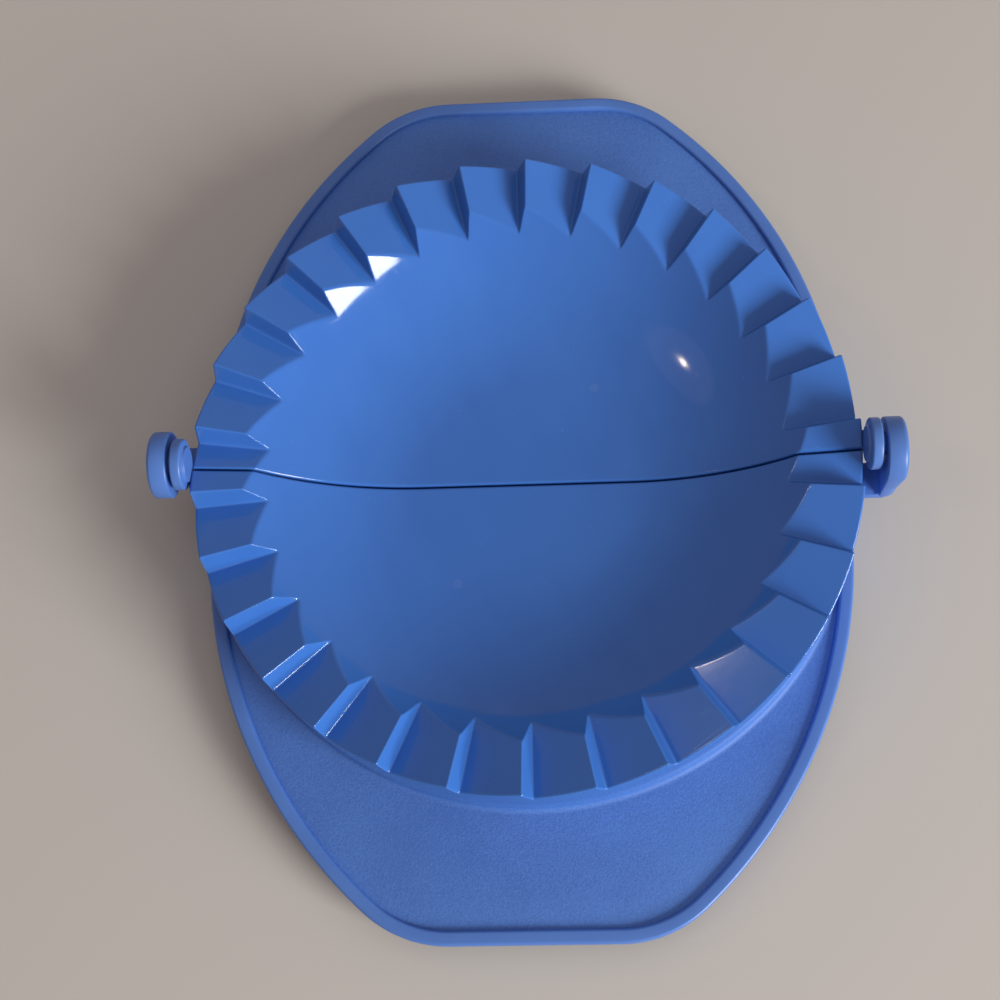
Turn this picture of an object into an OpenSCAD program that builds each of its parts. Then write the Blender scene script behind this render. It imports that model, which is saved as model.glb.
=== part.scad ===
// Empanada press, open flat on the table: two identical mouldings snapped together
// at the two ends of the seam. Millimetres, +Z up, seam and hinge axis along X.
// The origin lies on the table, under the middle of the seam.

/* [Crimp rim] */
// Outer diameter of the round rim
rim_d = 150; // [140:2:170]
// Height of the rim's outer edge above the top of the grip plates
rim_rise = 16; // [13:0.5:20]
// Saw teeth round each half
half_teeth = 15; // [11:2:19]
// Height of a tooth at the rim's outer edge
tooth_h = 5.4; // [4:0.1:6]
// Lean of the steep side of a tooth, in degrees
tooth_lean = 20; // [15:1:25]
// Turn of the teeth that sets how close the steep sides mesh, in degrees
mesh_turn = 0.35; // [0.2:0.05:0.6]
// Width of the crimp ring, from the rim's edge to the tips of the teeth
crimp_w = 16.6; // [14:0.2:19]
// Dip of the crimp ring towards the dish, in degrees
crimp_dip = 5; // [3:0.5:6]

/* [Dish] */
// Depth of the dish floor below the rim's outer edge
dish_depth = 14.5; // [12:0.5:15.5]
// Diameter of the flat floor of the dish
floor_d = 48; // [36:2:56]
// Wall of the dish
dish_wall = 2; // [1.6:0.1:2.4]

/* [Walls under the rim] */
// Wall of the upright skirt
skirt_wall = 2; // [1.6:0.1:2.6]
// Height of the crimp ring's wall, straight down through a tooth
crimp_wall = 2.4; // [2:0.1:3]
// Height of the dough cutting ring under the plates
ring_h = 5; // [3:0.5:8]
// Width of the cutting ring where it leaves the skirt
ring_root = 1.8; // [1.4:0.1:2]
// Width of its edge on the table
ring_edge = 0.8; // [0.6:0.1:1.2]

/* [Grip plates] */
// Thickness of a plate
plate_t = 2.5; // [2:0.1:3.5]
// Reach of a plate beyond the rim, at its end
plate_reach = 28.7; // [22:0.5:38]
// Length of the straight end of a plate
end_flat = 37; // [24:1:46]
// Radius of the plate's two corners
corner_r = 28; // [20:1:32]
// Distance from the seam to the widest place of a plate
belly_y = 13; // [10:1:18]
// How far the rim's edge stands out past that widest place
belly_in = 0.6; // [0.4:0.1:1.2]
// Width of the raised lip round a plate
lip_w = 3.2; // [2.6:0.2:4]
// Height of the lip above the plate
lip_h = 1.2; // [0.8:0.1:1.8]

/* [Hinge] */
// Height of the hinge axis above the rim's outer edge
axis_rise = 6; // [5.6:0.1:7]
// Gap between the halves along the seam
seam_gap = 0.5; // [0.3:0.1:0.8]
// Diameter of the disc at the end of a stud
disc_d = 11.5; // [10:0.1:11.6]
// Thickness of that disc
disc_t = 2.75; // [2.4:0.05:3.2]
// Gap between the disc and the rim
neck_gap = 0.3; // [0.2:0.1:0.5]
// Diameter of the snap pin
pin_d = 5; // [4:0.1:5.6]
// Clearance round the pin in its bore
pin_clear = 0.08; // [0.05:0.01:0.1]
// Gap between the disc and the ear beside it
ear_gap = 1.05; // [0.5:0.05:1.3]
// Diameter of the ear with the bore
ear_d = 15; // [14:0.2:16]
// Thickness of the ear
ear_t = 4.4; // [4:0.1:5.4]
// How far the middle of the ear lies below the hinge axis
ear_drop = 2.35; // [1.6:0.05:2.6]
// How far it lies towards its own half
ear_out = 0.85; // [0.4:0.05:1]
// Rounding of the ear's outer edge
ear_edge = 1; // [0.5:0.1:1.4]
// Depth of the shelf under the ear, from the hinge axis to its underside
shelf_drop = 13.2; // [12:0.1:14]
// Thickness of that shelf
shelf_t = 1.9; // [1.6:0.1:2.6]

/* [Hidden] */
$fn = 120;
fine = 0.01;
far = 400;
blue = [0.27, 0.43, 0.80];
dull_blue = [0.33, 0.45, 0.78];

// Levels above the table
plate_z = ring_h;
plate_top = plate_z + plate_t;
rim_z = plate_top + rim_rise;
crest_z = rim_z + tooth_h + 1;
axis_z = rim_z + axis_rise;
floor_z = rim_z - dish_depth;
shelf_z = axis_z - shelf_drop;
shelf_top = shelf_z + shelf_t;

// Rim and dish
rim_r = rim_d / 2;
pitch = 180 / half_teeth;
floor_r = floor_d / 2;
tip_r = rim_r - crimp_w;
tip_z = rim_z - crimp_w * tan(crimp_dip);
side_run = tip_r - floor_r;
side_rise = tip_z - floor_z;
side_r = (pow(side_run, 2) + pow(side_rise, 2)) / (2 * side_rise);
split_r = tip_r - 0.8;
ramp = atan(tooth_h / (rim_r * sin(pitch) - tooth_h * tan(tooth_lean)));
wall_turn = 1.2 / rim_r * 180 / PI;
skirt_top = rim_z - crimp_wall - skirt_wall * tan(crimp_dip) - 0.1;

// Outline of a grip plate: straight end, corner arcs and side arcs, all tangent
end_y = rim_r + plate_reach;
belly_r = rim_r - belly_in;
corner_x = end_flat / 2;
corner_y = end_y - corner_r;
bow_r = (pow(belly_r - corner_x, 2) + pow(corner_y - belly_y, 2) - pow(corner_r, 2))
    / (2 * (belly_r - corner_x - corner_r));
bow_x = belly_r - bow_r;
bow_high = atan2(corner_y - belly_y, corner_x - bow_x);

// Places along the hinge axis
disc_x = rim_r + neck_gap;
ear_x = disc_x + disc_t + ear_gap;
hinge_x = ear_x + ear_t;
pin_r = pin_d / 2;
web_d = 4.6;
web_drop = 6;

// Keeps what lies behind the seam, clear of the other half
module behind_seam() {
    intersection() {
        children();
        translate([-far / 2, seam_gap / 2, -far / 2]) cube(far);
    }
}

// Half a solid of revolution about the middle of the rim
module half_turn() {
    behind_seam() rotate_extrude() children();
}

// Turns the rear moulding into the front one
module front() {
    rotate([0, 0, 180]) children();
}

// Section of the bowl's hollow, made larger by a wall
module bowl_section(wall) {
    low = floor_z - wall;
    high = crest_z - low;
    translate([0, low]) square([floor_r, high]);
    intersection() {
        translate([floor_r, floor_z + side_r]) circle(side_r + wall, $fn = 360);
        translate([floor_r - fine, low]) square([far, high]);
    }
}

// Section of the rim between the dish and a radius, under the hollow of the bowl
module rim_section(outer, low, wall) {
    difference() {
        translate([split_r, low]) square([outer - split_r, crest_z - low]);
        bowl_section(wall);
    }
}

// Everything under a tilted face through the dipping line at the foot of a tooth
module under_face(tilt) {
    translate([rim_r, 0, rim_z]) rotate([0, -crimp_dip, 0]) rotate([tilt, 0, 0])
        translate([-far / 2, -far / 2, -far]) cube(far);
}

// Wedge of one tooth: all that lies under its ramp and its steep side. It starts early
// and ends late, inside the teeth beside it, so no two wedges only touch.
module tooth_wedge() {
    over = 0.4;
    near = split_r - 10;
    intersection() {
        translate([0, 0, floor_z - 2]) linear_extrude(far) polygon([
            near * [cos(-over), sin(-over)], 2 * rim_r * [cos(-over), sin(-over)],
            2 * rim_r * [cos(pitch + over), sin(pitch + over)],
            near * [cos(pitch + over), sin(pitch + over)]]);
        under_face(ramp);
        rotate([0, 0, pitch]) translate([rim_r, 0, rim_z]) rotate([0, -crimp_dip, 0])
            rotate([tooth_lean, 0, 0]) translate([-far / 2, -far, -far / 2]) cube(far);
    }
}

// All wedges round the rim, one after the other
module saw_teeth() {
    for (i = [0 : half_teeth]) rotate([0, 0, (i - 0.5) * pitch + mesh_turn]) tooth_wedge();
}

// The teeth over a hollow of the same form, which leaves a wall of even thickness
module crimp_ring() {
    behind_seam() difference() {
        intersection() {
            rotate_extrude() rim_section(rim_r, floor_z, 0);
            saw_teeth();
        }
        intersection() {
            rotate_extrude() {
                rim_section(rim_r - skirt_wall, floor_z - 1, dish_wall);
                translate([rim_r - skirt_wall - 1, floor_z - 1])
                    square([skirt_wall + 2, skirt_top - floor_z + 1]);
            }
            translate([0, 0, -crimp_wall]) rotate([0, 0, -wall_turn]) saw_teeth();
        }
    }
}

module dish() {
    half_turn() intersection() {
        difference() {
            bowl_section(dish_wall);
            bowl_section(0);
        }
        square([split_r, far]);
    }
}

module skirt() {
    half_turn() translate([rim_r - skirt_wall, plate_z])
        square([skirt_wall, skirt_top - plate_z]);
}

module cutting_ring() {
    half_turn() polygon([
        [rim_r - ring_edge, 0], [rim_r, 0], [rim_r, plate_z], [rim_r - ring_root, plate_z]
    ]);
}

// Area of a plate, drawn back from its outline by an even margin
module plate_area(back) {
    corner = [corner_x, corner_y];
    edge = corner + (corner_r - back) * [cos(bow_high), sin(bow_high)];
    // This point lies just past the join of the two arcs, so their areas overlap it
    past = corner + (corner_r - back - 0.05) * [cos(bow_high - 1), sin(bow_high - 1)];
    for (s = [0, 1]) mirror([s, 0]) {
        polygon([[0, 0], [corner_x, 0], corner, past, [corner_x, end_y - back],
            [0, end_y - back]]);
        translate(corner) intersection() {
            circle(corner_r - back);
            polygon([[0, 0], far * [cos(bow_high), sin(bow_high)], [0, far]]);
        }
        intersection() {
            translate([bow_x, belly_y]) circle(bow_r - back, $fn = 360);
            polygon([[0, 0], [far, 0], [far, corner_y], edge, corner]);
        }
    }
}

module grip_plate() {
    behind_seam() difference() {
        translate([0, 0, plate_z]) linear_extrude(plate_t) plate_area(lip_w);
        cylinder(r = rim_r, h = far, $fn = 360);
    }
}

module plate_lip() {
    behind_seam() difference() {
        translate([0, 0, plate_z]) linear_extrude(plate_t + lip_h) difference() {
            plate_area(0);
            plate_area(lip_w);
        }
        cylinder(r = rim_r, h = far, $fn = 360);
    }
}

// Round bar along +Z with a rounded far edge
module rounded_bar(r, h, edge) {
    rotate_extrude() {
        square([r, h - edge]);
        square([r - edge, h]);
        translate([r - edge, h - edge]) circle(edge, $fn = 32);
    }
}

// Lays what points up along the hinge axis, outwards on one side
module on_axis(side, out) {
    translate([side * out, 0, axis_z]) rotate([0, side * 90, 0]) children();
}

// Stud at the right end of the rear half: web on the rim, disc and snap pin
module hinge_stud() {
    disc_edge = 0.4;
    pin_edge = 0.5;
    on_axis(1, disc_x) rounded_bar(disc_d / 2, disc_t, disc_edge);
    on_axis(1, disc_x + disc_t - fine)
        rounded_bar(pin_r, ear_t + ear_gap - pin_edge + fine, pin_edge);
    behind_seam() difference() {
        translate([rim_r - 2, 0, rim_z - web_drop])
            cube([2 + neck_gap + fine, web_d, web_drop + tooth_h / 2]);
        cylinder(r = rim_r, h = far);
    }
}

// Block at the left end of the rear half, as deep as the ear, between two levels
module end_block(inner, low, high) {
    deep = ear_out + ear_d / 2 - 2 * fine;
    wide = hinge_x - inner;
    behind_seam() translate([-hinge_x, 0, low]) linear_extrude(high - low) {
        square([wide, deep - ear_edge]);
        translate([ear_edge, 0]) square([wide - ear_edge, deep]);
        translate([ear_edge, deep - ear_edge]) circle(ear_edge, $fn = 32);
    }
}

// Ear at the left end of the rear half, bored for the other half's pin: round above
// and towards the other half, and straight down to the shelf on its own side
module hinge_ear() {
    difference() {
        union() {
            translate([0, ear_out, -ear_drop]) on_axis(-1, ear_x)
                rounded_bar(ear_d / 2, ear_t, ear_edge);
            end_block(ear_x, shelf_top, axis_z - ear_drop);
        }
        on_axis(-1, ear_x - 1) cylinder(r = pin_r + pin_clear, h = ear_t + 2);
    }
}

// Shelf that leaves the rim's wall under the other half's disc and carries the ear
module hinge_bracket() {
    difference() {
        end_block(rim_r - 3, shelf_z, shelf_top);
        cylinder(r = rim_r, h = far);
    }
}

color(blue) dish();  // rear_dish
color(blue) crimp_ring();  // rear_crimp_ring
color(blue) skirt();  // rear_skirt
color(blue) cutting_ring();  // rear_cutting_ring
color(dull_blue) grip_plate();  // rear_grip_plate
color(blue) plate_lip();  // rear_plate_lip
color(blue) hinge_stud();  // rear_hinge_stud
color(blue) hinge_ear();  // rear_hinge_ear
color(blue) hinge_bracket();  // rear_hinge_bracket
color(blue) front() dish();  // front_dish
color(blue) front() crimp_ring();  // front_crimp_ring
color(blue) front() skirt();  // front_skirt
color(blue) front() cutting_ring();  // front_cutting_ring
color(dull_blue) front() grip_plate();  // front_grip_plate
color(blue) front() plate_lip();  // front_plate_lip
color(blue) front() hinge_stud();  // front_hinge_stud
color(blue) front() hinge_ear();  // front_hinge_ear
color(blue) front() hinge_bracket();  // front_hinge_bracket
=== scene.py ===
# Empanada press, open on a table: the looks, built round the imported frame.
# Shapes are worked out in millimetres and handed to Blender in metres.
import math

import bmesh
import bpy
import numpy as np
from mathutils import Matrix, Vector


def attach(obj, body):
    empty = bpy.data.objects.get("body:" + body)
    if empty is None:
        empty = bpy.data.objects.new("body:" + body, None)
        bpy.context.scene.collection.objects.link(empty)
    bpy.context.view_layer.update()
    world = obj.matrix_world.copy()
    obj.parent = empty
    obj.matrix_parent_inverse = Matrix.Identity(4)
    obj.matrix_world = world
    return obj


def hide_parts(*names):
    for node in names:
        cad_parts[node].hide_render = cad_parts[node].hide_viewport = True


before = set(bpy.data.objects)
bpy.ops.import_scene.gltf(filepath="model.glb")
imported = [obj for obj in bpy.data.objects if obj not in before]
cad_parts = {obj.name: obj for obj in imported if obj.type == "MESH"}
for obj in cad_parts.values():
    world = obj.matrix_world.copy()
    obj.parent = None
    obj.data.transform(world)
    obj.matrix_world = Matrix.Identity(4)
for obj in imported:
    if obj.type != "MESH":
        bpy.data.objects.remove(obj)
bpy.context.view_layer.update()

MM = 0.001

# Sizes of the press, the same as in its CAD source
RIM_R = 75.0
RIM_Z = 23.5
PLATE_LOW = 5.0
PLATE_TOP = 7.5
HALF_TEETH = 15
PITCH = 180.0 / HALF_TEETH
TOOTH_H = 5.4
TOOTH_LEAN = 20.0
MESH_TURN = 0.35
FIRST_FOOT = PITCH / 2 + MESH_TURN
CRIMP_DIP = 5.0
CRIMP_WALL = 2.4
WALL_TURN = 1.2 / RIM_R * 180 / math.pi
TIP_R = RIM_R - 16.6
FLOOR_R = 24.0
FLOOR_Z = RIM_Z - 14.5
DISH_WALL = 2.0
SEAM = 0.25

DIP = math.tan(math.radians(CRIMP_DIP))
COS_DIP = math.cos(math.radians(CRIMP_DIP))
WALL_SLOPE = 1 / math.tan(math.radians(TOOTH_LEAN))
RAMP_SLOPE = TOOTH_H / (RIM_R * math.sin(math.radians(PITCH)) - TOOTH_H / WALL_SLOPE)
SIDE_RUN = TIP_R - FLOOR_R
SIDE_RISE = RIM_Z - (RIM_R - TIP_R) * DIP - FLOOR_Z
SIDE_R = (SIDE_RUN ** 2 + SIDE_RISE ** 2) / (2 * SIDE_RISE)

# Roundings of the moulding
RIDGE_SOFT = 0.9
FOOT_SOFT = 1.3
LEDGE_SOFT = 0.4
RIM_EDGE = 0.5
SEAM_EDGE = 0.55

# Points nearer than this are one point
WELD = 0.0015

# Outline of a grip plate
END_Y = RIM_R + 28.7
CORNER_R = 28.0
CORNER = np.array([18.5, END_Y - CORNER_R])
BELLY_Y = 13.0
BELLY_R = RIM_R - 0.6
LIP_W = 3.2
LIP_H = 1.2
BOW_R = ((BELLY_R - CORNER[0]) ** 2 + (CORNER[1] - BELLY_Y) ** 2 - CORNER_R ** 2) / (
    2 * (BELLY_R - CORNER[0] - CORNER_R))
BOW = np.array([BELLY_R - BOW_R, BELLY_Y])
BOW_TOP = math.atan2(CORNER[1] - BELLY_Y, CORNER[0] - BOW[0])

# Fillet between plate and skirt, and how near the axis a plate or lip may reach
FILLET = 1.3
KEEP_OUT_R = RIM_R - 0.8

# Hinge
AXIS_Z = RIM_Z + 6.0
DISC_X = RIM_R + 0.3
DISC_T = 2.75
DISC_R = 5.75
EAR_X = DISC_X + DISC_T + 1.05
HINGE_X = EAR_X + 4.4
EAR_R = 7.5
EAR_MID = (0.85, AXIS_Z - 2.35)
EAR_EDGE = 1.0
EAR_FOOT_EDGE = 3.2
EAR_CORNER = 1.3
PIN_R = 2.5
BORE_R = 2.58
SHELF_Z = AXIS_Z - 13.2
SHELF_TOP = SHELF_Z + 1.9

# Middle of the rear dish's gate mark; the front one lies half a turn round
GATE = (16.3, 23.7)


# ---------------------------------------------------------------- node trees

class Value:
    """A socket that maths can be written with."""

    def __init__(self, maker, socket):
        self.maker = maker
        self.socket = socket

    def of(self, name):
        return Value(self.maker, pick(self.socket.node.outputs, name))

    def maths(self, operation, *others):
        return self.maker.add("ShaderNodeMath", {"operation": operation}, [self, *others])

    def __add__(self, other):
        return self.maths("ADD", other)

    def __sub__(self, other):
        return self.maths("SUBTRACT", other)

    def __mul__(self, other):
        return self.maths("MULTIPLY", other)

    def __truediv__(self, other):
        return self.maths("DIVIDE", other)

    def __rsub__(self, other):
        return self.maker.add("ShaderNodeMath", {"operation": "SUBTRACT"}, [other, self])

    __radd__ = __add__
    __rmul__ = __mul__


def pick(sockets, key):
    if isinstance(key, int):
        return sockets[key]
    return next(s for s in sockets if s.enabled and key in (s.name, s.identifier))


class Maker:
    """Adds nodes to one tree."""

    def __init__(self, tree):
        self.tree = tree

    def add(self, kind, settings=None, inputs=None, output=0):
        node = self.tree.nodes.new(kind)
        for name, value in (settings or {}).items():
            setattr(node, name, value)
        in_order = isinstance(inputs, (list, tuple))
        for key, value in enumerate(inputs) if in_order else (inputs or {}).items():
            socket = pick(node.inputs, key)
            if isinstance(value, Value):
                self.tree.links.new(value.socket, socket)
            else:
                socket.default_value = value
        return Value(self, pick(node.outputs, output)) if node.outputs else node


# ----------------------------------------------------------------- materials

def speckle(maker, place, scale, detail=2.0, rough=0.5):
    return maker.add("ShaderNodeTexNoise", {"noise_dimensions": "3D"},
                     {"Vector": place, "Scale": scale, "Detail": detail, "Roughness": rough})


def stretched(maker, place, grain, turn):
    """Turns the place about Z and then divides it by a grain's size in millimetres, so
    streaks can lie aslant."""
    return maker.add("ShaderNodeMapping", {"vector_type": "TEXTURE"},
                     {"Vector": place, "Rotation": (0.0, 0.0, math.radians(turn)),
                      "Scale": tuple(side * MM for side in grain)})


def between(maker, value, low, high, out_low, out_high):
    return maker.add("ShaderNodeMapRange", {"clamp": True},
                     {"Value": value, "From Min": low, "From Max": high,
                      "To Min": out_low, "To Max": out_high})


def blend_colour(maker, amount, first, second):
    return maker.add("ShaderNodeMix", {"data_type": "RGBA"},
                     {"Factor": amount, "A": first, "B": second}, "Result")


def plastic(name):
    material = bpy.data.materials.new(name)
    material.use_nodes = True
    tree = material.node_tree
    tree.nodes.clear()
    maker = Maker(tree)
    place = maker.add("ShaderNodeTexCoord", None, None, "Object")
    return material, maker, place


def finish_plastic(maker, colour, roughness, normal):
    shader = maker.add("ShaderNodeBsdfPrincipled", None,
                       {"Base Color": colour, "Roughness": roughness, "IOR": 1.5,
                        "Normal": normal})
    maker.add("ShaderNodeOutputMaterial", None, {"Surface": shader})


def gate_distance(maker, place):
    """Distance from the gate mark of the half that a point belongs to."""
    parts = maker.add("ShaderNodeSeparateXYZ", None, {"Vector": place}, "X")
    side = parts.of("Y").maths("SIGN")
    right = parts * side - GATE[0] * MM
    back = parts.of("Y") * side - GATE[1] * MM
    return (right * right + back * back).maths("SQRT")


def gloss_moulding():
    """Glossy moulded plastic: faint flow marks, orange peel, hairline scratches, dust and
    the mark of the gate in the dish."""
    material, maker, place = plastic("gloss_moulding")
    cloud = speckle(maker, place, 38.0, 3.0)
    flow = speckle(maker, stretched(maker, place, (5.5, 37.0, 11.0), 20.0), 1.0, 2.0)
    dust = speckle(maker, place, 1500.0, 1.0)
    scratch_a = speckle(maker, stretched(maker, place, (0.17, 13.0, 13.0), 34.0), 1.0, 0.0)
    scratch_b = speckle(maker, stretched(maker, place, (0.15, 11.0, 11.0), -56.0), 1.0, 0.0)
    peel = speckle(maker, place, 260.0, 1.0)

    tone = between(maker, cloud + flow * 0.35, 0.45, 0.90, 0.0, 1.0)
    base = blend_colour(maker, tone, GLOSS_LOW, GLOSS_HIGH)
    marks = between(maker, scratch_a.maths("MAXIMUM", scratch_b), 0.77, 0.83, 0.0, 1.0)
    far_off = gate_distance(maker, place)
    gate = between(maker, far_off, 0.95 * MM, 1.2 * MM, 1.0, 0.0)
    groove = between(maker, (far_off - 1.15 * MM).maths("ABSOLUTE"), 0.0, 0.25 * MM, 1.0, 0.0)
    colour = blend_colour(maker, gate * 0.05 + between(maker, dust, 0.79, 0.83, 0.0, 0.30),
                          base, (0.34, 0.46, 0.80, 1.0))
    roughness = between(maker, cloud, 0.3, 0.7, 0.06, 0.10) + marks * 0.12 + gate * 0.08
    height = peel * 0.5 - marks * 0.3 - groove * 0.8 + gate * 0.3
    bump = maker.add("ShaderNodeBump", None,
                     {"Strength": 0.25, "Distance": 0.00003, "Height": height})
    finish_plastic(maker, colour, roughness, bump)
    return material


def textured_plate():
    """Fine spark-eroded grain of the grip plates."""
    material, maker, place = plastic("textured_plate")
    cloud = speckle(maker, place, 30.0, 3.0)
    grain = speckle(maker, place, 2600.0, 2.0, 0.6)
    pits = speckle(maker, place, 1300.0, 1.0)
    tone = between(maker, cloud * 0.6 + grain * 0.7, 0.50, 0.82, 0.0, 1.0)
    colour = blend_colour(maker, tone, PLATE_SHADE, PLATE_LIGHT)
    roughness = between(maker, grain, 0.35, 0.65, 0.50, 0.64)
    bump = maker.add("ShaderNodeBump", None,
                     {"Strength": 0.55, "Distance": 0.00010, "Height": grain + pits * 0.6})
    finish_plastic(maker, colour, roughness, bump)
    return material


def satin_lip():
    """Polished but handled edges: the lips and the hinge knuckles."""
    material, maker, place = plastic("satin_lip")
    cloud = speckle(maker, place, 45.0, 3.0)
    haze = speckle(maker, place, 700.0, 2.0)
    tone = between(maker, cloud, 0.35, 0.65, 0.0, 1.0)
    colour = blend_colour(maker, tone, LIP_SHADE, LIP_LIGHT)
    roughness = between(maker, haze, 0.3, 0.7, 0.32, 0.42)
    bump = maker.add("ShaderNodeBump", None,
                     {"Strength": 0.25, "Distance": 0.00004, "Height": haze})
    finish_plastic(maker, colour, roughness, bump)
    return material


GLOSS_LOW = (0.041, 0.151, 0.505, 1.0)
GLOSS_HIGH = (0.046, 0.166, 0.538, 1.0)
PLATE_SHADE = (0.053, 0.145, 0.460, 1.0)
PLATE_LIGHT = (0.075, 0.200, 0.580, 1.0)
LIP_SHADE = (0.070, 0.172, 0.505, 1.0)
LIP_LIGHT = (0.082, 0.197, 0.555, 1.0)

GLOSS = gloss_moulding()
PLATE = textured_plate()
SATIN = satin_lip()


# ------------------------------------------------------------------- shaping

def soft_min(a, b, k):
    overlap = np.maximum(k - np.abs(a - b), 0.0)
    return np.minimum(a, b) - overlap ** 2 / (4 * k)


def soft_max(a, b, k):
    return -soft_min(-a, -b, k)


def tooth_height(r, angle):
    """Height of the saw teeth at a radius and an angle in degrees."""
    local = np.mod(angle - FIRST_FOOT, PITCH)

    def planes(turned):
        turned = np.radians(turned)
        foot = RIM_Z + (r * np.cos(turned) - RIM_R) * DIP
        across = r * np.sin(turned)
        return foot + across * RAMP_SLOPE / COS_DIP, foot - across * WALL_SLOPE / COS_DIP

    ramp, last_wall = planes(local)
    next_ramp, wall = planes(local - PITCH)
    top = soft_min(ramp, wall, RIDGE_SOFT)
    top = soft_max(top, next_ramp, FOOT_SOFT)
    return soft_max(top, last_wall, FOOT_SOFT)


def bowl_height(r, wall=0.0):
    run = np.maximum(r - FLOOR_R, 0.0)
    return FLOOR_Z + SIDE_R - np.sqrt((SIDE_R + wall) ** 2 - run ** 2)


def top_height(r, angle):
    return soft_min(tooth_height(r, angle), bowl_height(r), LEDGE_SOFT)


def under_height(r, angle):
    lowered = tooth_height(r, angle + WALL_TURN) - CRIMP_WALL
    return soft_min(lowered, bowl_height(r, DISH_WALL), LEDGE_SOFT)


def drop_at_edge(distance, edge):
    """How far a rounded edge lies below its face, at a distance from the edge."""
    inside = np.clip(edge - distance, 0.0, edge)
    return edge - np.sqrt(edge ** 2 - inside ** 2)


# Columns of a half's mesh: lines along the seam first, then spokes, which crowd together
# where a tooth turns. Inside SPOKE_R the spokes bend towards the middle of the seam.
SEAM_LINES = [0.25, 0.265, 0.31, 0.39, 0.50, 0.64, 0.80, 0.98]
SPOKE_R = 57.6
FIRST_SPOKE = 1.25
IN_TOOTH = ([0.06, 0.12, 0.18, 0.26, 0.4] + [0.7 + 0.5 * i for i in range(17)]
            + [9.2, 9.45, 9.58, 9.72, 9.95, 10.12, 10.22, 10.30, 10.37, 10.44, 10.50, 10.56,
               10.63, 10.70, 10.80, 10.95, 11.08, 11.25, 11.45, 11.62, 11.74, 11.82, 11.88,
               11.94])


def spokes(first, last):
    """Spoke angles between two angles, with both ends."""
    found = {first, last}
    for tooth in range(-1, HALF_TEETH + 1):
        for part in [0.0] + IN_TOOTH:
            angle = FIRST_FOOT + tooth * PITCH + part
            if first + 0.05 < angle < last - 0.05:
                found.add(angle)
    return sorted(found)


# Rows of a half's section: radii over and under the shell, and radii with heights between
TOP_ROWS = ([1.2, 4, 8, 13, 18, 21, 23, 24] + [24 + 1.5 * i for i in range(1, 22)]
            + [56.4, 57.0, 57.6] + [57.6 + 0.22 * i for i in range(1, 31)]
            + [64.8, 66, 68, 70, 72, 73.5, 74.3, 74.5, 74.55, 74.62, 74.70, 74.79, 74.87,
               74.93, 74.97, 74.993, 75.0])
UNDER_ROWS = [73.0, 72.6, 71.4, 69.6, 67.8, 66.4, 65.4, 64.6, 64.0, 63.4, 62.8, 62.2, 61.6,
              61.0, 60.4, 59.8, 59.2, 58.4, 57.6, 56.4, 54, 50.5, 47, 43.5, 40, 36.5, 33,
              29.5, 26.5, 24, 22, 16, 9, 1.2]
OUTER_WALL = [(75.0, 22.4), (75.0, 19.0), (75.0, 13.0), (75.0, 9.0), (75.0, 5.0), (75.0, 0.35),
              (74.96, 0.12), (74.84, 0.0)]
INNER_WALL = [(74.42, 0.0), (74.28, 0.07), (74.2, 0.25), (73.28, 4.85), (73.2, 5.0),
              (73.0, 5.15), (73.0, 9.0), (73.0, 14.0), (73.0, 18.0)]


def section_rows():
    """Every row of a half's section, from the middle over the rim and back underneath."""
    rows = [("top", r, 0.0) for r in TOP_ROWS]
    rows += [("wall", r, z) for r, z in OUTER_WALL + INNER_WALL]
    rows += [("under", r, 0.0) for r in UNDER_ROWS]
    return rows


def column_point(column, r):
    kind, value = column
    if kind == "right":
        return math.sqrt(r * r - value * value), value
    if kind == "left":
        return -math.sqrt(r * r - value * value), value
    reach = max(r, SPOKE_R)
    x, y = reach * math.cos(math.radians(value)), reach * math.sin(math.radians(value))
    if r >= SPOKE_R:
        return x, y
    start = SEAM_LINES[-1]
    ux, uy = x, y - start
    length = math.hypot(ux, uy)
    ux, uy = ux / length, uy / length
    along = -start * uy + math.sqrt((start * uy) ** 2 - start ** 2 + r * r)
    return along * ux, start + along * uy


def grid(columns, rows):
    """Points of a sheet of columns and rows, in millimetres."""
    points = np.zeros((len(rows), len(columns), 3))
    for i, (kind, r, z) in enumerate(rows):
        flat = np.array([column_point(c, r) for c in columns])
        angle = np.degrees(np.arctan2(flat[:, 1], flat[:, 0]))
        points[i, :, :2] = flat
        if kind == "top":
            height = top_height(np.full(len(columns), r), angle)
            height = height - drop_at_edge(RIM_R - r, RIM_EDGE)
            height = height - drop_at_edge(flat[:, 1] - SEAM, SEAM_EDGE)
        elif kind == "under":
            height = under_height(np.full(len(columns), r), angle)
        else:
            height = np.full(len(columns), z)
        points[i, :, 2] = height
    return points


def sheet_mesh(builder, points):
    """Adds a sheet's points and faces to a bmesh and gives its vertices back."""
    rows, columns = points.shape[:2]
    made = [[builder.verts.new(Vector(points[i, j]) * MM) for j in range(columns)]
            for i in range(rows)]
    for i in range(rows - 1):
        for j in range(columns - 1):
            builder.faces.new((made[i][j], made[i][j + 1], made[i + 1][j + 1], made[i + 1][j]))
    return made


def mesh_piece(name, builder, sharp=38.0):
    """Turns a bmesh into an object with smooth faces and crisp edges."""
    bmesh.ops.remove_doubles(builder, verts=builder.verts, dist=WELD * MM)
    bmesh.ops.recalc_face_normals(builder, faces=builder.faces)
    limit = math.radians(sharp)
    for face in builder.faces:
        face.smooth = True
    for edge in builder.edges:
        if len(edge.link_faces) == 2:
            edge.smooth = edge.calc_face_angle(0.0) < limit
    mesh = bpy.data.meshes.new(name)
    builder.to_mesh(mesh)
    builder.free()
    piece = bpy.data.objects.new(name, mesh)
    bpy.context.scene.collection.objects.link(piece)
    return piece


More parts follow.
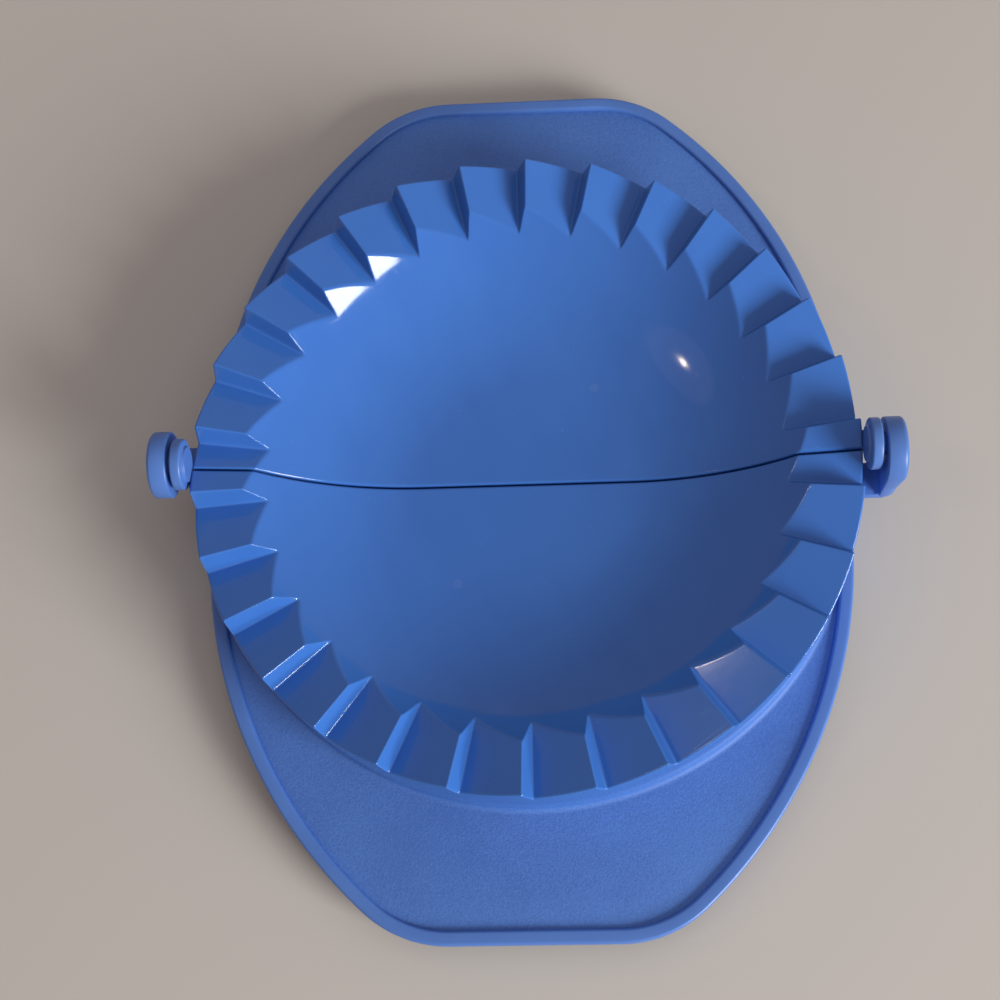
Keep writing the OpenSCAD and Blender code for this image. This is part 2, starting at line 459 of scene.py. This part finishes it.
def settle(piece):
    """Bakes the modifiers of a piece into a plain mesh."""
    graph = bpy.context.evaluated_depsgraph_get()
    plain = bpy.data.meshes.new_from_object(piece.evaluated_get(graph))
    piece.modifiers.clear()
    if piece.type == "MESH":
        piece.data = plain
        return piece
    name = piece.name
    scene = bpy.context.scene.collection
    bpy.data.objects.remove(piece)
    plain_piece = bpy.data.objects.new(name, plain)
    scene.objects.link(plain_piece)
    return plain_piece


# ------------------------------------------------------------ geometry nodes

def new_tree(name, sockets):
    """An empty geometry tree with named inputs; gives the maker, inputs and end node."""
    tree = bpy.data.node_groups.new(name, "GeometryNodeTree")
    tree.interface.new_socket(name="Geometry", in_out="OUTPUT",
                              socket_type="NodeSocketGeometry")
    names = {}
    for label, kind in [("Geometry", "NodeSocketGeometry")] + sockets:
        item = tree.interface.new_socket(name=label, in_out="INPUT", socket_type=kind)
        names[label] = item.identifier
    maker = Maker(tree)
    start = tree.nodes.new("NodeGroupInput")
    end = tree.nodes.new("NodeGroupOutput")
    given = {label: Value(maker, pick(start.outputs, label)) for label in names}
    return tree, maker, given, end, names


def run_tree(piece, tree, names, values):
    modifier = piece.modifiers.new(tree.name, "NODES")
    modifier.node_group = tree
    for label, value in values.items():
        modifier[names[label]] = value
    return settle(piece)


def teeth_tree():
    """Sets one tooth again and again round the rim."""
    tree, maker, given, end, names = new_tree("teeth_round_the_rim", [
        ("Teeth", "NodeSocketInt"), ("Pitch", "NodeSocketFloat"),
        ("Material", "NodeSocketMaterial")])
    points = maker.add("GeometryNodePoints", None, {"Count": given["Teeth"]})
    number = maker.add("GeometryNodeInputIndex")
    turn = maker.add("ShaderNodeCombineXYZ", None, {"Z": number * given["Pitch"]})
    placed = maker.add("GeometryNodeInstanceOnPoints", None,
                       {"Points": points, "Instance": given["Geometry"], "Rotation": turn})
    solid = maker.add("GeometryNodeRealizeInstances", None, {"Geometry": placed})
    dressed = maker.add("GeometryNodeSetMaterial", None,
                        {"Geometry": solid, "Material": given["Material"]})
    tree.links.new(dressed.socket, end.inputs[0])
    return tree, names


def lip_tree():
    """Runs a rounded section along a plate's edge and keeps it out of the dish."""
    tree, maker, given, end, names = new_tree("lip_along_the_plate", [
        ("Width", "NodeSocketFloat"), ("Height", "NodeSocketFloat"),
        ("Rounding", "NodeSocketFloat"), ("Level", "NodeSocketFloat"),
        ("Keep out", "NodeSocketFloat"), ("Material", "NodeSocketMaterial")])
    section = maker.add("GeometryNodeCurvePrimitiveQuadrilateral", None,
                        {"Width": given["Width"], "Height": given["Height"]}, "Curve")
    section = maker.add("GeometryNodeFilletCurve", {"mode": "POLY"},
                        {"Curve": section, "Count": 7, "Radius": given["Rounding"]})
    swept = maker.add("GeometryNodeCurveToMesh", None,
                      {"Curve": given["Geometry"], "Profile Curve": section,
                       "Fill Caps": True})
    raised = maker.add("GeometryNodeTransform", None,
                       {"Geometry": swept,
                        "Translation": maker.add("ShaderNodeCombineXYZ", None,
                                                 {"Z": given["Level"]})})
    where = maker.add("GeometryNodeInputPosition")
    parts = maker.add("ShaderNodeSeparateXYZ", None, {"Vector": where}, "X")
    far_out = (parts * parts + parts.of("Y") * parts.of("Y")).maths("SQRT")
    grow = far_out.maths("MAXIMUM", given["Keep out"]) / far_out
    placed = maker.add("ShaderNodeCombineXYZ", None,
                       {"X": parts * grow, "Y": parts.of("Y") * grow, "Z": parts.of("Z")})
    kept = maker.add("GeometryNodeSetPosition", None,
                     {"Geometry": raised, "Position": placed})
    dressed = maker.add("GeometryNodeSetMaterial", None,
                        {"Geometry": kept, "Material": given["Material"]})
    tree.links.new(dressed.socket, end.inputs[0])
    return tree, names


# -------------------------------------------------------------------- pieces

def dish_and_teeth():
    """The rear half's shell: dish, teeth, skirt and cutting ring in one skin."""
    rows = section_rows()
    ring = [i for i, (kind, r, z) in enumerate(rows) if r >= SPOKE_R]
    first, last = FIRST_FOOT, FIRST_FOOT + (HALF_TEETH - 1) * PITCH
    right = [("right", y) for y in SEAM_LINES]
    left = [("left", y) for y in reversed(SEAM_LINES)]
    near = [("spoke", a) for a in spokes(FIRST_SPOKE, first)]
    middle = [("spoke", a) for a in spokes(first, last)]
    beyond = [("spoke", a) for a in spokes(last, 180.0 - FIRST_SPOKE)]
    every = right + near + middle[1:-1] + beyond + left

    tooth = bmesh.new()
    one = [("spoke", a) for a in spokes(first, first + PITCH)]
    sheet_mesh(tooth, grid(one, [rows[i] for i in ring]))
    teeth = mesh_piece("teeth", tooth)
    tree, names = teeth_tree()
    teeth = run_tree(teeth, tree, names, {"Teeth": HALF_TEETH - 1,
                                          "Pitch": math.radians(PITCH), "Material": GLOSS})

    shell = bmesh.new()
    shell.from_mesh(teeth.data)
    bpy.data.objects.remove(teeth)
    points = grid(every, rows)
    start, stop = ring[0], ring[-1]
    top = sheet_mesh(shell, points[:start + 1])
    under = sheet_mesh(shell, points[stop:])
    ends = len(right) + len(near)
    sheet_mesh(shell, points[start:stop + 1, :ends])
    sheet_mesh(shell, points[start:stop + 1, -(len(beyond) + len(left)):])

    lines = len(SEAM_LINES)
    for row in (top[0], under[-1]):
        for j in range(lines - 1):
            shell.faces.new((row[j], row[j + 1], row[-2 - j], row[-1 - j]))
        shell.faces.new(row[lines - 1:len(row) - lines + 1])
    bmesh.ops.remove_doubles(shell, verts=shell.verts, dist=WELD * MM)
    bmesh.ops.holes_fill(shell, edges=[e for e in shell.edges if e.is_boundary], sides=0)
    piece = mesh_piece("rear_dish_and_teeth", shell)
    piece.data.materials.append(GLOSS)
    return piece


def plate_outline():
    """Points of a plate's outline from right to left, with their inward directions."""
    found = []
    start = -math.asin((BELLY_Y - 9.0) / BOW_R)
    for a in np.linspace(start, BOW_TOP, 70):
        way = np.array([math.cos(a), math.sin(a)])
        found.append((BOW + BOW_R * way, -way))
    for a in np.linspace(BOW_TOP, math.pi / 2, 22)[1:]:
        way = np.array([math.cos(a), math.sin(a)])
        found.append((CORNER + CORNER_R * way, -way))
    for x in np.linspace(CORNER[0], 0.0, 9)[1:]:
        found.append((np.array([x, END_Y]), np.array([0.0, -1.0])))
    flip = np.array([-1.0, 1.0])
    return found + [(p * flip, n * flip) for p, n in reversed(found[:-1])]


def held_out(point):
    """A point of a plate, moved out of the dish where it lies too near the axis."""
    return point * max(1.0, KEEP_OUT_R / float(np.hypot(*point)))


def grip_plate():
    """The flat plate between the skirt and the lip, with a small fillet at the skirt that
    fades out where the plate's edge runs into the skirt."""
    above = [(1.6, 7.0), (2.2, 7.3), (3.0, PLATE_TOP)]
    fillet = [(FILLET, 0.0), (0.9, 0.07), (0.55, 0.24), (0.28, 0.5), (0.09, 0.88),
              (0.0, FILLET), (-0.6, FILLET)]
    foot = [(out, PLATE_TOP + up) for out, up in fillet]
    foot += [(-0.6, PLATE_LOW), (0.0, PLATE_LOW), (FILLET, PLATE_LOW)]
    below = [(3.0, PLATE_LOW), (2.2, 5.25), (1.6, 5.6)]
    rows = []
    for p, n in plate_outline():
        room = min(max((float(np.hypot(*p)) - 0.4 - RIM_R) / FILLET, 0.0), 1.0)
        inner = p + n * (LIP_W - 0.2)
        reach = float(np.hypot(*inner))
        way = inner / reach
        row = [(*held_out(p + n * inset), z) for inset, z in above]
        for share in (0.3, 0.65):
            at = max(RIM_R - 0.7, reach + (RIM_R + FILLET * room - reach) * share)
            row.append((*(way * at), PLATE_TOP))
        for out, z in foot:
            at = RIM_R + (out * room if out > 0 else out) - 0.06 * (1 - room)
            row.append((*(way * at), z))
        row += [(*held_out(p + n * inset), z) for inset, z in below]
        row.append(row[0])
        rows.append(row)
    builder = bmesh.new()
    made = sheet_mesh(builder, np.array(rows).transpose(1, 0, 2))
    for j in (0, -1):
        builder.faces.new([line[j] for line in made[:-1]])
    piece = mesh_piece("rear_plate", builder)
    piece.data.materials.append(PLATE)
    return piece


def plate_lip():
    """The raised lip along the plate's edge, swept along its middle line."""
    path = bpy.data.curves.new("lip_path", "CURVE")
    path.dimensions = "3D"
    spline = path.splines.new("POLY")
    outline = plate_outline()
    spline.points.add(len(outline) - 1)
    for point, (p, n) in zip(spline.points, outline):
        middle = (p + n * LIP_W / 2) * MM
        point.co = (middle[0], middle[1], 0.0, 1.0)
    lip = bpy.data.objects.new("rear_lip", path)
    bpy.context.scene.collection.objects.link(lip)
    tree, names = lip_tree()
    height = PLATE_TOP + LIP_H - PLATE_LOW
    lip = run_tree(lip, tree, names, {
        "Width": LIP_W * MM, "Height": height * MM, "Rounding": 0.75 * MM,
        "Level": (PLATE_LOW + height / 2) * MM, "Keep out": KEEP_OUT_R * MM,
        "Material": SATIN})
    builder = bmesh.new()
    builder.from_mesh(lip.data)
    bpy.data.objects.remove(lip)
    piece = mesh_piece("rear_lip", builder)
    piece.data.materials.append(SATIN)
    return piece


def turned(builder, profile, middle, steps=72):
    """Turns a profile of (x, radius) pairs round a line along X and gives its rings back."""
    rings = []
    for x, radius in profile:
        ring = []
        for k in range(steps):
            a = 2 * math.pi * k / steps
            ring.append(builder.verts.new(Vector((
                x, middle[0] + radius * math.cos(a), middle[1] + radius * math.sin(a)
            )) * MM))
        rings.append(ring)
    for low, high in zip(rings, rings[1:]):
        for k in range(steps):
            m = (k + 1) % steps
            builder.faces.new((low[k], low[m], high[m], high[k]))
    return rings


def cap(builder, ring):
    builder.faces.new(ring)


def block(builder, low, high, edge, segments=4):
    """A block with rounded edges."""
    made = bmesh.ops.create_cube(builder, size=1.0)
    size = [(b - a) * MM for a, b in zip(low, high)]
    middle = [(a + b) / 2 * MM for a, b in zip(low, high)]
    for v in made["verts"]:
        v.co = Vector([v.co[i] * size[i] + middle[i] for i in range(3)])
    edges = list({e for v in made["verts"] for e in v.link_edges})
    bmesh.ops.bevel(builder, geom=edges, offset=edge * MM, segments=segments, profile=0.5,
                    affect="EDGES")


def hinge_stud():
    """Stud at the right end of the rear half: neck, hub, disc and snap pin."""
    builder = bmesh.new()
    x0, x1 = DISC_X, DISC_X + DISC_T
    profile = [(x0 - 0.27, 3.7), (x0 - 0.25, 3.9), (x0 - 0.15, 3.98), (x0 + 0.12, 4.0),
               (x0 + 0.24, 4.06), (x0 + 0.3, 4.2), (x0 + 0.3, 5.0), (x0 + 0.32, 5.22),
               (x0 + 0.4, 5.45), (x0 + 0.54, 5.62), (x0 + 0.72, 5.72), (x0 + 0.9, DISC_R),
               (x1 - 0.45, DISC_R), (x1 - 0.28, 5.72), (x1 - 0.12, 5.62), (x1 - 0.03, 5.47),
               (x1, 5.3), (x1, 2.95), (x1 + 0.1, 2.65), (x1 + 0.35, PIN_R),
               (HINGE_X - 1.1, PIN_R), (HINGE_X - 0.75, 2.4), (HINGE_X - 0.55, 2.2),
               (HINGE_X - 0.5, 1.95)]
    rings = turned(builder, profile, (0.0, AXIS_Z))
    cap(builder, rings[0])
    cap(builder, rings[-1])
    block(builder, (RIM_R - 0.9, 0.32, RIM_Z - 6.0), (DISC_X + 0.2, 4.6, RIM_Z + 2.7), 0.18, 3)
    piece = mesh_piece("rear_stud", builder)
    piece.data.materials.append(SATIN)
    return piece


def ear_outline(inset):
    """Outline of the ear in y and z, drawn in by an inset: round above and towards the
    other half, and straight down to the shelf's foot on its own side."""
    radius = EAR_R - inset
    side, foot = EAR_MID[0] + radius, SHELF_Z + inset
    seam = SEAM + 0.02
    drop = math.degrees(math.acos((seam - EAR_MID[0]) / radius))
    points = []
    for a in np.linspace(0.0, 360.0 - drop, 60):
        a = math.radians(a)
        points.append((EAR_MID[0] + radius * math.cos(a), EAR_MID[1] + radius * math.sin(a)))
    points.append((seam + 0.05, SHELF_TOP))
    points.append((seam + 0.15, foot))
    corner = (side - EAR_CORNER, foot + EAR_CORNER)
    points += [(y, foot) for y in np.linspace(2.6, corner[0] - 0.3, 7)]
    for a in np.linspace(-90.0, 0.0, 9):
        a = math.radians(a)
        points.append((corner[0] + EAR_CORNER * math.cos(a),
                       corner[1] + EAR_CORNER * math.sin(a)))
    points += [(side, z) for z in np.linspace(corner[1] + 0.4, 26.6, 14)]
    return points


def ear_reach(y, z):
    """How far out the ear reaches: its upright outer edge is rounded more near its foot."""
    share = min(max((31.0 - z) / 13.0, 0.0), 1.0)
    radius = EAR_EDGE + (EAR_FOOT_EDGE - EAR_EDGE) * share * share * (3 - 2 * share)
    low = min(max(SHELF_Z + EAR_CORNER - z, 0.0), EAR_CORNER)
    cut_off = EAR_CORNER - math.sqrt(EAR_CORNER ** 2 - low ** 2)
    from_side = EAR_MID[0] + EAR_R - y - cut_off
    inside = min(max(radius - from_side, 0.0), radius)
    return HINGE_X - radius + math.sqrt(radius ** 2 - inside ** 2)


def ring_at(builder, x, points):
    return [builder.verts.new(Vector((x, y, z)) * MM) for y, z in points]


def bridge(builder, first, second):
    for k in range(len(first)):
        m = (k + 1) % len(first)
        builder.faces.new((first[k], first[m], second[m], second[k]))


def hinge_ear():
    """Ear at the left end of the rear half, with the bore for the other half's pin."""
    builder = bmesh.new()
    x0, x1 = EAR_X, HINGE_X
    outer = [(x0, 0.35), (x0 + 0.1, 0.17), (x0 + 0.2, 0.07), (x0 + 0.35, 0.0)]
    for a in np.linspace(0.0, 90.0, 9):
        a = math.radians(a)
        outer.append((x1 - EAR_EDGE + EAR_EDGE * math.sin(a), EAR_EDGE * (1 - math.cos(a))))
    outer.append((x1, 1.8))
    loops = [ring_at(builder, -x, ear_outline(inset)) for x, inset in outer]
    for loop in loops:
        for v in loop:
            v.co.x = -min(-v.co.x, ear_reach(v.co.y / MM, v.co.z / MM) * MM)
    ways = [math.atan2(z - AXIS_Z, y) for y, z in ear_outline(EAR_EDGE)]
    for x, radius in ((x1, BORE_R + 0.3), (x1 - 0.3, BORE_R), (x0 + 0.25, BORE_R),
                      (x0, BORE_R + 0.25)):
        loops.append(ring_at(builder, -x, [(radius * math.cos(a), AXIS_Z + radius * math.sin(a))
                                           for a in ways]))
    for first, second in zip(loops, loops[1:] + loops[:1]):
        bridge(builder, first, second)
    piece = mesh_piece("rear_ear", builder)
    piece.data.materials.append(SATIN)
    return piece


def hinge_bracket():
    """Thin shelf that leaves the rim's wall and carries the ear, with a fillet at its foot."""
    builder = bmesh.new()
    deep = EAR_MID[0] + EAR_R - 0.02
    block(builder, (-EAR_X - 1.5, SEAM + 0.02, SHELF_Z + 0.01), (-RIM_R + 1.2, deep, SHELF_TOP),
          0.45)
    section = [(-EAR_X - 0.4, SHELF_TOP - 0.3), (-EAR_X - 0.4, SHELF_TOP + 1.2)]
    for a in np.linspace(0.0, 90.0, 9):
        a = math.radians(a)
        section.append((-EAR_X + 1.2 - 1.2 * math.cos(a), SHELF_TOP + 1.2 - 1.2 * math.sin(a)))
    section.append((-EAR_X + 1.2, SHELF_TOP - 0.3))
    ends = [[builder.verts.new(Vector((x, y, z)) * MM) for x, z in section]
            for y in (SEAM + 0.3, deep - 0.35)]
    bridge(builder, *ends)
    for end in ends:
        cap(builder, end)
    piece = mesh_piece("rear_bracket", builder)
    piece.data.materials.append(SATIN)
    return piece


def front_of(piece):
    """The front half's twin of a rear piece, half a turn round."""
    mesh = piece.data.copy()
    mesh.transform(Matrix.Rotation(math.pi, 4, "Z"))
    name = piece.name.replace("rear_", "front_")
    mesh.name = name
    twin = bpy.data.objects.new(name, mesh)
    bpy.context.scene.collection.objects.link(twin)
    return twin


REAR = [
    (dish_and_teeth(), "gloss_shell", ["dish", "crimp_ring", "skirt", "cutting_ring"]),
    (grip_plate(), "textured_plate", ["grip_plate"]),
    (plate_lip(), "gloss_shell", ["plate_lip"]),
    (hinge_stud(), "gloss_shell", ["hinge_stud"]),
    (hinge_ear(), "gloss_shell", ["hinge_ear"]),
    (hinge_bracket(), "gloss_shell", ["hinge_bracket"]),
]

for piece, slot, nodes in REAR:
    twin = front_of(piece)
    for one, side in ((piece, "rear"), (twin, "front")):
        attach(one, side + "_half")
        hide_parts(*[side + "_" + node for node in nodes])


# --------------------------------------------------- floor, light and camera

def pale_floor():
    builder = bmesh.new()
    bmesh.ops.create_grid(builder, x_segments=2, y_segments=2, size=1.6)
    floor = mesh_piece("floor", builder)
    for v in floor.data.vertices:
        v.co.z = -0.0002
    material = bpy.data.materials.new("pale_floor")
    material.use_nodes = True
    material.node_tree.nodes.clear()
    maker = Maker(material.node_tree)
    shader = maker.add("ShaderNodeBsdfPrincipled", None,
                       {"Base Color": (0.53, 0.50, 0.46, 1.0), "Roughness": 0.9})
    maker.add("ShaderNodeOutputMaterial", None, {"Surface": shader})
    floor.data.materials.append(material)


def lamp(name, away, distance, size, power, colour, shape="DISK"):
    """An area lamp in a direction from the press, looking back at it."""
    light = bpy.data.lights.new(name, "AREA")
    light.shape = shape
    light.size = size
    light.energy = power
    light.color = colour
    holder = bpy.data.objects.new(name, light)
    away = Vector(away).normalized()
    holder.location = away * distance + Vector((0, 0, 0.02))
    holder.rotation_euler = away.to_track_quat("Z", "Y").to_euler()
    bpy.context.scene.collection.objects.link(holder)
    return holder


# A low window at the right, a dim cool ceiling, and a bulb with a glow and a shade round it
# that is seen as one small bright spot in the rear dish
BULB = (-0.5839, -0.0794, 0.8079)

pale_floor()
lamp("window", (0.714, -0.572, 0.350), 1.6, 0.66, 31.6, (1.0, 0.985, 0.96), "SQUARE")
ceiling = lamp("ceiling", (0.25, 0.05, 1.0), 2.2, 2.2, 7.5, (0.62, 0.82, 1.0))
ceiling.visible_glossy = False
lamp("bulb", BULB, 1.971, 0.062, 0.50, (1.0, 0.86, 0.66))
lamp("bulb_glow", BULB, 1.99, 0.13, 0.13, (1.0, 0.74, 0.62))
lamp("bulb_shade", BULB, 2.02, 0.74, 0.34, (0.95, 0.72, 0.90))

world = bpy.data.worlds.new("room")
world.use_nodes = True
world.node_tree.nodes["Background"].inputs["Color"].default_value = (1.0, 0.82, 0.76, 1.0)
world.node_tree.nodes["Background"].inputs["Strength"].default_value = 0.32
bpy.context.scene.world = world
bpy.context.scene.view_settings.view_transform = "Standard"

# Camera, fitted to the teeth: the directions of the picture's right, down and depth
RIGHT = Vector((0.99822687, -0.01109210, -0.05848151))
DOWN = Vector((-0.02901096, -0.94855516, -0.31528000))
AHEAD = Vector((-0.05197582, 0.31641757, -0.94719503))
eye = bpy.data.cameras.new("eye")
eye.sensor_fit = "HORIZONTAL"
eye.sensor_width = 36.0
eye.lens = eye.sensor_width * 1.55798
eye.clip_start = 0.01
camera = bpy.data.objects.new("eye", eye)
turn = Matrix((RIGHT, -DOWN, -AHEAD)).transposed().to_4x4()
camera.matrix_world = Matrix.Translation((0.0125018, -0.1187041, 0.3533080)) @ turn
bpy.context.scene.collection.objects.link(camera)
bpy.context.scene.camera = camera
